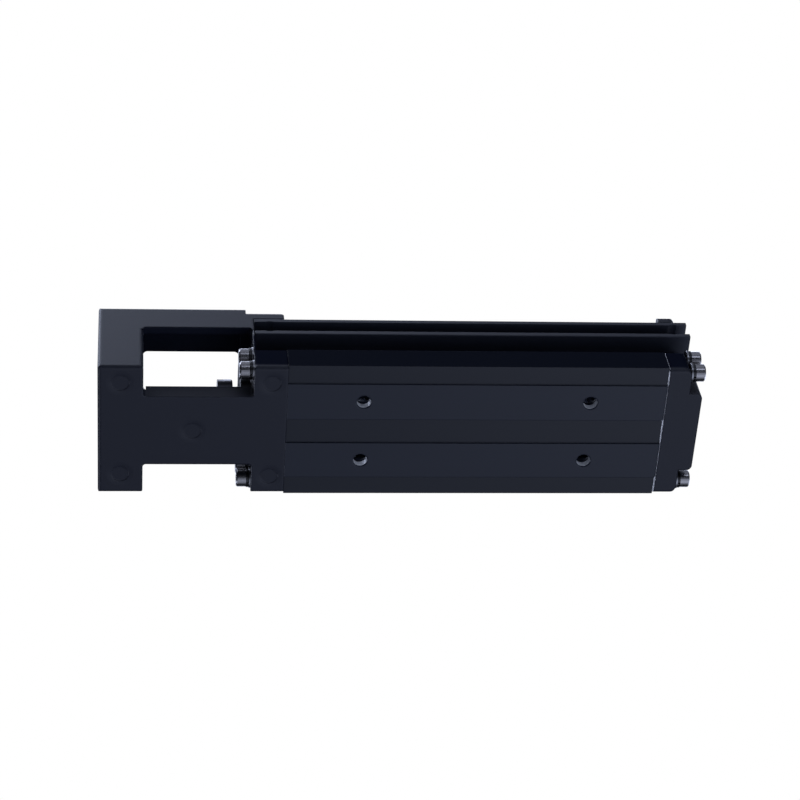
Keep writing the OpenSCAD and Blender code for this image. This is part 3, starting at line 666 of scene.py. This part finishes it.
def tube_mesh(name: str, points: np.ndarray) -> bpy.types.Object:
    """Makes a closed tube with a pole at both ends.

    The grid gives the rings. Each pole is the mean of its end ring, and a fan of triangles joins
    it to that ring.

    Args:
        name: The piece's name.
        points: Places of the rings' points: rings, points round a ring, three numbers.

    Returns:
        The piece, with smooth faces and sharp creases.
    """
    rows, around, _ = points.shape
    flat = points.reshape(-1, 3)
    poles = np.stack([points[0].mean(0), points[-1].mean(0)])
    ring = np.arange(around)
    after = (ring + 1) % around
    last = (rows - 1) * around
    first_cap = np.stack([np.full(around, rows * around), ring, after], axis=-1)
    last_cap = np.stack([np.full(around, rows * around + 1), last + after, last + ring], axis=-1)
    faces = grid_faces(rows, around).tolist() + first_cap.tolist() + last_cap.tolist()
    mesh = bpy.data.meshes.new(name)
    mesh.from_pydata(np.concatenate([flat, poles]).tolist(), [], faces)
    mesh.polygons.foreach_set("use_smooth", np.ones(len(faces), bool))
    mesh.update()
    mesh.set_sharp_from_angle(angle=math.radians(32))
    made = bpy.data.objects.new(name, mesh)
    bpy.context.scene.collection.objects.link(made)
    return made


# ---- Sub-assemblies ----


@dataclass
class SubAssembly:
    """A group of the part's nodes with their finishes."""

    def finishes(self) -> dict[str, Finish]:
        """The finish of every node in the group."""
        return {}

    def build(self) -> list[bpy.types.Object]:
        """Makes the group's new pieces; a plain group has none."""
        return []

    def dress(self) -> None:
        """Gives every node of the group its material."""
        for node, finish in self.finishes().items():
            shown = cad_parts[node]
            shown.data.materials.clear()
            shown.data.materials.append(finish.shaded(node + "_finish"))
            log.info("%s: %s", node, type(finish).__name__)


@dataclass
class BaseFrame(SubAssembly):
    """Guide rail, castings and sensor rail.

    Attributes:
        bracket_marks: Places of the ejector pins' marks under the motor bracket.
    """

    bracket_marks: tuple[tuple[float, float], ...] = (
        (-139.9 * MM, -22.0 * MM),
        (-139.9 * MM, 20.4 * MM),
        (-111.8 * MM, 0.0),
        (-81.1 * MM, -22.0 * MM),
        (-81.1 * MM, 21.4 * MM),
    )

    def finishes(self) -> dict[str, Finish]:
        """Paint on the castings, treated steel on the rail."""
        return {
            "base_rail": RailBlack(),
            "motor_bracket": CastPaint(marks=self.bracket_marks),
            "end_plate": CastPaint(),
            "sensor_rail": Anodised(),
            "sensor_rail_screws": Finish(colour=(0.03, 0.03, 0.032), rough=0.3, edge_wear=0.2),
            "stop_bumper_front": Moulded(colour=(0.012, 0.012, 0.012)),
            "stop_bumper_rear": Moulded(colour=(0.012, 0.012, 0.012)),
        }


@dataclass
class Fasteners(SubAssembly):
    """Screws and washers at the corners of both castings."""

    def finishes(self) -> dict[str, Finish]:
        """Dark screws, with spring washers that are darker than the flat ones."""
        spring = Rubbed(colour=(0.05, 0.05, 0.052), rough=0.35)
        flat = Rubbed(colour=(0.28, 0.28, 0.29), rough=0.3)
        return {
            "bracket_screws": SocketHead(),
            "bracket_spring_washers": spring,
            "bracket_flat_washers": flat,
            "end_plate_screws": SocketHead(),
            "end_plate_spring_washers": spring,
            "end_plate_flat_washers": flat,
        }


@dataclass
class BearingSeats(SubAssembly):
    """Both bearings with the cover and the seal of the fixed one."""

    def finishes(self) -> dict[str, Finish]:
        """Ground rings and balls, brass cages and a dark cover."""
        ring = GroundSteel()
        ball = GroundSteel(colour=(0.66, 0.67, 0.69), rough=0.12, edge_wear=0.0)
        brass = (0.62, 0.44, 0.17)
        cage = Finish(colour=brass, rough=0.32, metal=1.0, edge_colour=(0.8, 0.62, 0.3), edge_wear=0.4)
        return {
            "bearing_cover": Finish(colour=(0.05, 0.05, 0.053), rough=0.35, metal=0.6, edge_wear=0.5),
            "bearing_cover_screws": Finish(colour=(0.03, 0.03, 0.031), rough=0.3, edge_wear=0.4),
            "cover_seal": Moulded(colour=(0.014, 0.014, 0.014)),
            "fixed_bearing_outer_rings": ring,
            "fixed_bearing_inner_rings": ring,
            "fixed_bearing_balls": ball,
            "fixed_bearing_cages": cage,
            "support_bearing_outer_ring": ring,
            "support_bearing_inner_ring": ring,
            "support_bearing_balls": ball,
            "support_bearing_cage": cage,
        }


@dataclass
class ScrewDrive(SubAssembly):
    """The ball screw with its lock nut, collar and circlip.

    Attributes:
        axis_z: Height of the screw's axis.
        land: Radius of the screw.
        lead: Travel in one turn.
        pitch_r: Radius of the circle through the balls' middles.
        groove_r: Radius of the track's section.
        thread: Where the track starts and ends.
        around: Points round the screw.
        step: Distance between the rings of the track.
        shoulder_r: Radius of the shoulder at the fixed bearing.
        journal_r: Radius of the journals.
        drive_r: Radius of the driven end.
        circlip_r: Radius of the circlip's groove.
        circlip: Where that groove starts and ends.
        drive_end: Where the driven end meets the journal.
        seat: Where the journal meets the shoulder.
        chamfer: Chamfer of the driven end.
        tail_chamfer: Chamfer of the other end.
    """

    axis_z: float = 22.3 * MM
    land: float = 6.0 * MM
    lead: float = 10.0 * MM
    pitch_r: float = 6.4 * MM
    groove_r: float = 1.45 * MM
    thread: tuple[float, float] = (-69.1 * MM, 74.0 * MM)
    around: int = 120
    step: float = 0.2 * MM
    shoulder_r: float = 5.7 * MM
    journal_r: float = 4.0 * MM
    drive_r: float = 3.0 * MM
    circlip_r: float = 3.6 * MM
    circlip: tuple[float, float] = (87.85 * MM, 88.75 * MM)
    drive_end: float = -102.5 * MM
    seat: float = -72.1 * MM
    chamfer: float = 0.5 * MM
    tail_chamfer: float = 0.4 * MM

    def finishes(self) -> dict[str, Finish]:
        """Machined and ground steel."""
        return {
            "screw_shaft": TrackSteel(),
            "lock_nut": Finish(
                colour=(0.16, 0.16, 0.18), rough=0.36, metal=0.8, edge_colour=(0.5, 0.5, 0.52), edge_wear=0.7
            ),
            "lock_nut_set_screw": Finish(colour=(0.03, 0.03, 0.031), rough=0.3, edge_wear=0.4),
            "spacer_collar": GroundSteel(),
            "shaft_circlip": Finish(colour=(0.05, 0.05, 0.052), rough=0.3, metal=0.7, edge_wear=0.4),
        }

    def profile(self) -> tuple[np.ndarray, np.ndarray, np.ndarray]:
        """The screw's outline along X.

        Outside the thread each step of the outline is two rings at one place. Inside it the rings
        are a small step apart, and a flag says that the track is cut there.

        Returns:
            Places along X, radii, and the flags.
        """
        low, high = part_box("screw_shaft")
        x0, x1 = self.thread
        before = [
            (low.x, self.drive_r - self.chamfer),
            (low.x + self.chamfer, self.drive_r),
            (self.drive_end, self.drive_r),
            (self.drive_end, self.journal_r),
            (self.seat, self.journal_r),
            (self.seat, self.shoulder_r),
            (x0, self.shoulder_r),
        ]
        after = [
            (x1, self.journal_r),
            (self.circlip[0], self.journal_r),
            (self.circlip[0], self.circlip_r),
            (self.circlip[1], self.circlip_r),
            (self.circlip[1], self.journal_r),
            (high.x - self.tail_chamfer, self.journal_r),
            (high.x, self.journal_r - self.tail_chamfer),
        ]
        middle = np.arange(x0, x1 + self.step / 2, self.step)
        land = np.full(len(middle), self.land)
        along = np.concatenate([[p[0] for p in before], middle, [p[0] for p in after]])
        radius = np.concatenate([[p[1] for p in before], land, [p[1] for p in after]])
        cut = np.zeros(len(along), bool)
        cut[len(before) : len(before) + len(middle)] = True
        return along, radius, cut

    def build(self) -> list[bpy.types.Object]:
        """Makes the screw.

        A point is at the radius of the outline, at an angle that grows from straight down towards
        positive Y. Where the track is cut, the radius is the smaller of the land's and
        pitch_r - sqrt(groove_r^2 - a^2), with a the distance along X to the nearest turn of the
        right-hand helix a = x - lead * angle / turn.

        Returns:
            The screw, alone in a list.
        """
        along, radius, cut = self.profile()
        angle = np.linspace(0, 2 * math.pi, self.around, endpoint=False)
        x, turn = np.meshgrid(along, angle, indexing="ij")
        off = (x / self.lead - turn / (2 * math.pi) + 0.5) % 1.0 - 0.5
        depth = self.pitch_r - np.sqrt(np.maximum(0, self.groove_r**2 - (off * self.lead) ** 2))
        outline = np.repeat(radius[:, None], self.around, axis=1)
        r = np.where(cut[:, None], np.minimum(outline, depth), outline)
        points = np.stack([x, r * np.sin(turn), self.axis_z - r * np.cos(turn)], axis=-1)
        made = tube_mesh("ball_screw", points)
        made.data.materials.append(TrackSteel().shaded("ball_screw_finish"))
        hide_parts("screw_shaft")
        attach(made, Body.SCREW.value)
        log.info("ball_screw: %d faces", len(made.data.polygons))
        return [made]


@dataclass
class Carriage(SubAssembly):
    """Ball nut, carriage block and table."""

    def finishes(self) -> dict[str, Finish]:
        """Ground block, clear anodised table, dark plastic caps."""
        ball = GroundSteel(colour=(0.66, 0.67, 0.69), rough=0.12, edge_wear=0.0)
        cap = Moulded(colour=(0.02, 0.021, 0.024))
        wiper = Moulded(colour=(0.012, 0.012, 0.012), rough=0.65)
        black = Finish(colour=(0.03, 0.03, 0.031), rough=0.3, edge_wear=0.4)
        return {
            "ball_nut": Machined(colour=(0.46, 0.47, 0.49)),
            "nut_balls": ball,
            "nut_deflectors": Moulded(colour=(0.62, 0.58, 0.48), rough=0.45),
            "nut_lock_screws": black,
            "carriage_block": Machined(along=Along.X),
            "guide_balls_left": ball,
            "guide_balls_right": ball,
            "return_cap_front": cap,
            "return_cap_rear": cap,
            "cap_screws": black,
            "wiper_front": wiper,
            "wiper_rear": wiper,
            "grease_nipple": Machined(colour=(0.62, 0.44, 0.17), edge_colour=(0.85, 0.68, 0.35)),
            "table_plate": Machined(colour=(0.4, 0.41, 0.43), rough=0.45, along=Along.Y),
            "table_screws": black,
        }


# ---- Studio ----


@dataclass(frozen=True)
class Lamp:
    """A soft box: an area lamp that looks at the part.

    Attributes:
        name: Its name.
        place: Where it stands.
        side: Length of its sides.
        power: Its power.
        colour: Its colour.
    """

    name: str
    place: tuple[float, float, float]
    side: tuple[float, float]
    power: float
    colour: tuple[float, float, float] = COOL_WHITE

    def light(self, target: Vector) -> None:
        """Makes the lamp and turns it to the target."""
        data = bpy.data.lights.new(self.name, "AREA")
        data.shape = "RECTANGLE"
        data.size, data.size_y = self.side
        data.energy = self.power
        data.color = self.colour
        made = bpy.data.objects.new(self.name, data)
        made.location = self.place
        made.rotation_euler = (target - Vector(self.place)).to_track_quat("-Z", "Y").to_euler()
        bpy.context.scene.collection.objects.link(made)


@dataclass
class Studio:
    """Camera, lamps, floor and surroundings.

    Attributes:
        eye: Where the camera stands, below the part on its sensor rail's side.
        tilt: Its angle above the mounting face's own direction, in degrees.
        swing: Its turn along the part, in degrees.
        roll: Its turn round its own axis, in degrees.
        lens: Focal length in millimetres, on a sensor 36 mm wide.
        lamps: The soft boxes.
        room: Strength of the light from all round.
        glows: Brighter parts of the room: direction, cosine at their rim, and strength.
        floor_half: Half of the floor's side.
        floor_gap: Distance between the part and the floor.
        floor_colour: Colour of the floor, warm so that it looks neutral under the cool lamps.
    """

    eye: tuple[float, float, float] = (-0.1368, -0.53019, -0.80384)
    tilt: float = 32.664
    swing: float = 6.329
    roll: float = 0.286
    lens: float = 110.31
    lamps: list[Lamp] = field(
        default_factory=lambda: [
            Lamp("top_box", (0.0, -0.03, 1.1), (1.7, 0.4), 6.0),
            Lamp("low_box", (0.2, -1.1, -0.2), (0.5, 0.3), 1.0),
            Lamp("back_box", (0.1, 0.6, 0.95), (0.6, 0.6), 2.0),
            Lamp("right_box", (0.9, 0.5, 0.35), (0.5, 0.5), 3.0),
            Lamp("left_box", (-1.0, 0.65, -0.25), (0.4, 0.4), 2.0),
            Lamp("under_box", (0.6, 0.2, -0.9), (0.8, 0.8), 0.8),
        ]
    )
    room: float = 0.03
    glows: tuple[tuple[tuple[float, float, float], float, float], ...] = (
        ((0.1, 0.53, 0.84), 0.6, 0.9),
        ((0.1, -0.8, 0.6), 0.75, 0.5),
        ((0.45, 0.1, -0.89), 0.6, 0.86),
        ((-0.54, -0.13, 0.83), 0.95, 8.0),
    )
    floor_half: float = 3.0
    floor_gap: float = 0.3 * MM
    floor_colour: tuple[float, float, float] = (0.92, 0.84, 0.67)

    def camera(self) -> None:
        """Sets the camera.

        The view's right, down and forward directions are the rows of roll * swing * tilt, each a
        plain rotation matrix: tilt turns about X, swing about Y and roll about Z.
        """
        tilt, swing, roll = (math.radians(a) for a in (self.tilt, self.swing, self.roll))
        c, s = math.cos(tilt), math.sin(tilt)
        about_x = np.array([[1, 0, 0], [0, c, -s], [0, s, c]])
        c, s = math.cos(swing), math.sin(swing)
        about_y = np.array([[c, 0, -s], [0, 1, 0], [s, 0, c]])
        c, s = math.cos(roll), math.sin(roll)
        about_z = np.array([[c, -s, 0], [s, c, 0], [0, 0, 1]])
        right, down, forward = about_z @ about_y @ about_x
        data = bpy.data.cameras.new("camera")
        data.lens = self.lens
        data.sensor_width = 36.0
        data.clip_start, data.clip_end = 0.01, 20.0
        made = bpy.data.objects.new("camera", data)
        turn = Matrix(np.stack([right, -down, -forward], axis=1).tolist()).to_4x4()
        made.matrix_world = Matrix.Translation(self.eye) @ turn
        bpy.context.scene.collection.objects.link(made)
        bpy.context.scene.camera = made

    def surroundings(self) -> None:
        """White behind the part, and a soft grey room in the light that falls on it."""
        world = bpy.data.worlds.new("studio")
        bpy.context.scene.world = world
        world.use_nodes = True
        net = Net(world.node_tree)
        direction = net.node("ShaderNodeTexCoord", out="Generated")
        level = self.room
        for toward, low, strength in self.glows:
            level = net.vector("DOT_PRODUCT", direction, toward, out=1).ramp(low, 1.0) * strength + level
        room = net.node("ShaderNodeBackground", None, {"Color": (*COOL_WHITE, 1.0), "Strength": level})
        white = net.node("ShaderNodeBackground", None, {"Color": (1, 1, 1, 1), "Strength": 1.0})
        seen = net.node("ShaderNodeLightPath", out="Is Camera Ray")
        both = net.node("ShaderNodeMixShader", None, {0: seen, 1: room, 2: white})
        net.node("ShaderNodeOutputWorld", None, {0: both})

    def floor(self) -> None:
        """A pale floor just under the part, which is clear to whoever looks up from below."""
        s = self.floor_half
        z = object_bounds()[0].z - self.floor_gap
        mesh = bpy.data.meshes.new("floor")
        mesh.from_pydata([(-s, -s, z), (s, -s, z), (s, s, z), (-s, s, z)], [], [(0, 1, 2, 3)])
        made = bpy.data.objects.new("floor", mesh)
        bpy.context.scene.collection.objects.link(made)
        pale = bpy.data.materials.new("floor_pale")
        pale.use_nodes = True
        net = Net(pale.node_tree)
        matt = net.node("ShaderNodeBsdfDiffuse", None, {"Color": (*self.floor_colour, 1.0)})
        clear = net.node("ShaderNodeBsdfTransparent")
        below = net.node("ShaderNodeNewGeometry", out="Backfacing")
        both = net.node("ShaderNodeMixShader", None, {0: below, 1: matt, 2: clear})
        net.node("ShaderNodeOutputMaterial", None, {0: both})
        mesh.materials.append(pale)
        made.visible_diffuse = False
        made.visible_glossy = False
        made.visible_transmission = False
        made.visible_shadow = False
        made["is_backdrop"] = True

    def build(self) -> None:
        """Makes the whole studio."""
        bpy.context.scene.view_settings.view_transform = "Standard"
        self.camera()
        self.surroundings()
        self.floor()
        low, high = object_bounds()
        for lamp in self.lamps:
            lamp.light((low + high) / 2)
            log.info("lamp %s: %.1f W", lamp.name, lamp.power)


def main() -> None:
    """Builds the sub-assemblies and the studio in order."""
    logging.basicConfig(level=logging.INFO, format="%(message)s")
    for group in (BaseFrame(), Fasteners(), BearingSeats(), ScrewDrive(), Carriage()):
        group.dress()
        group.build()
    Studio().build()


if __name__ == "__main__":
    main()
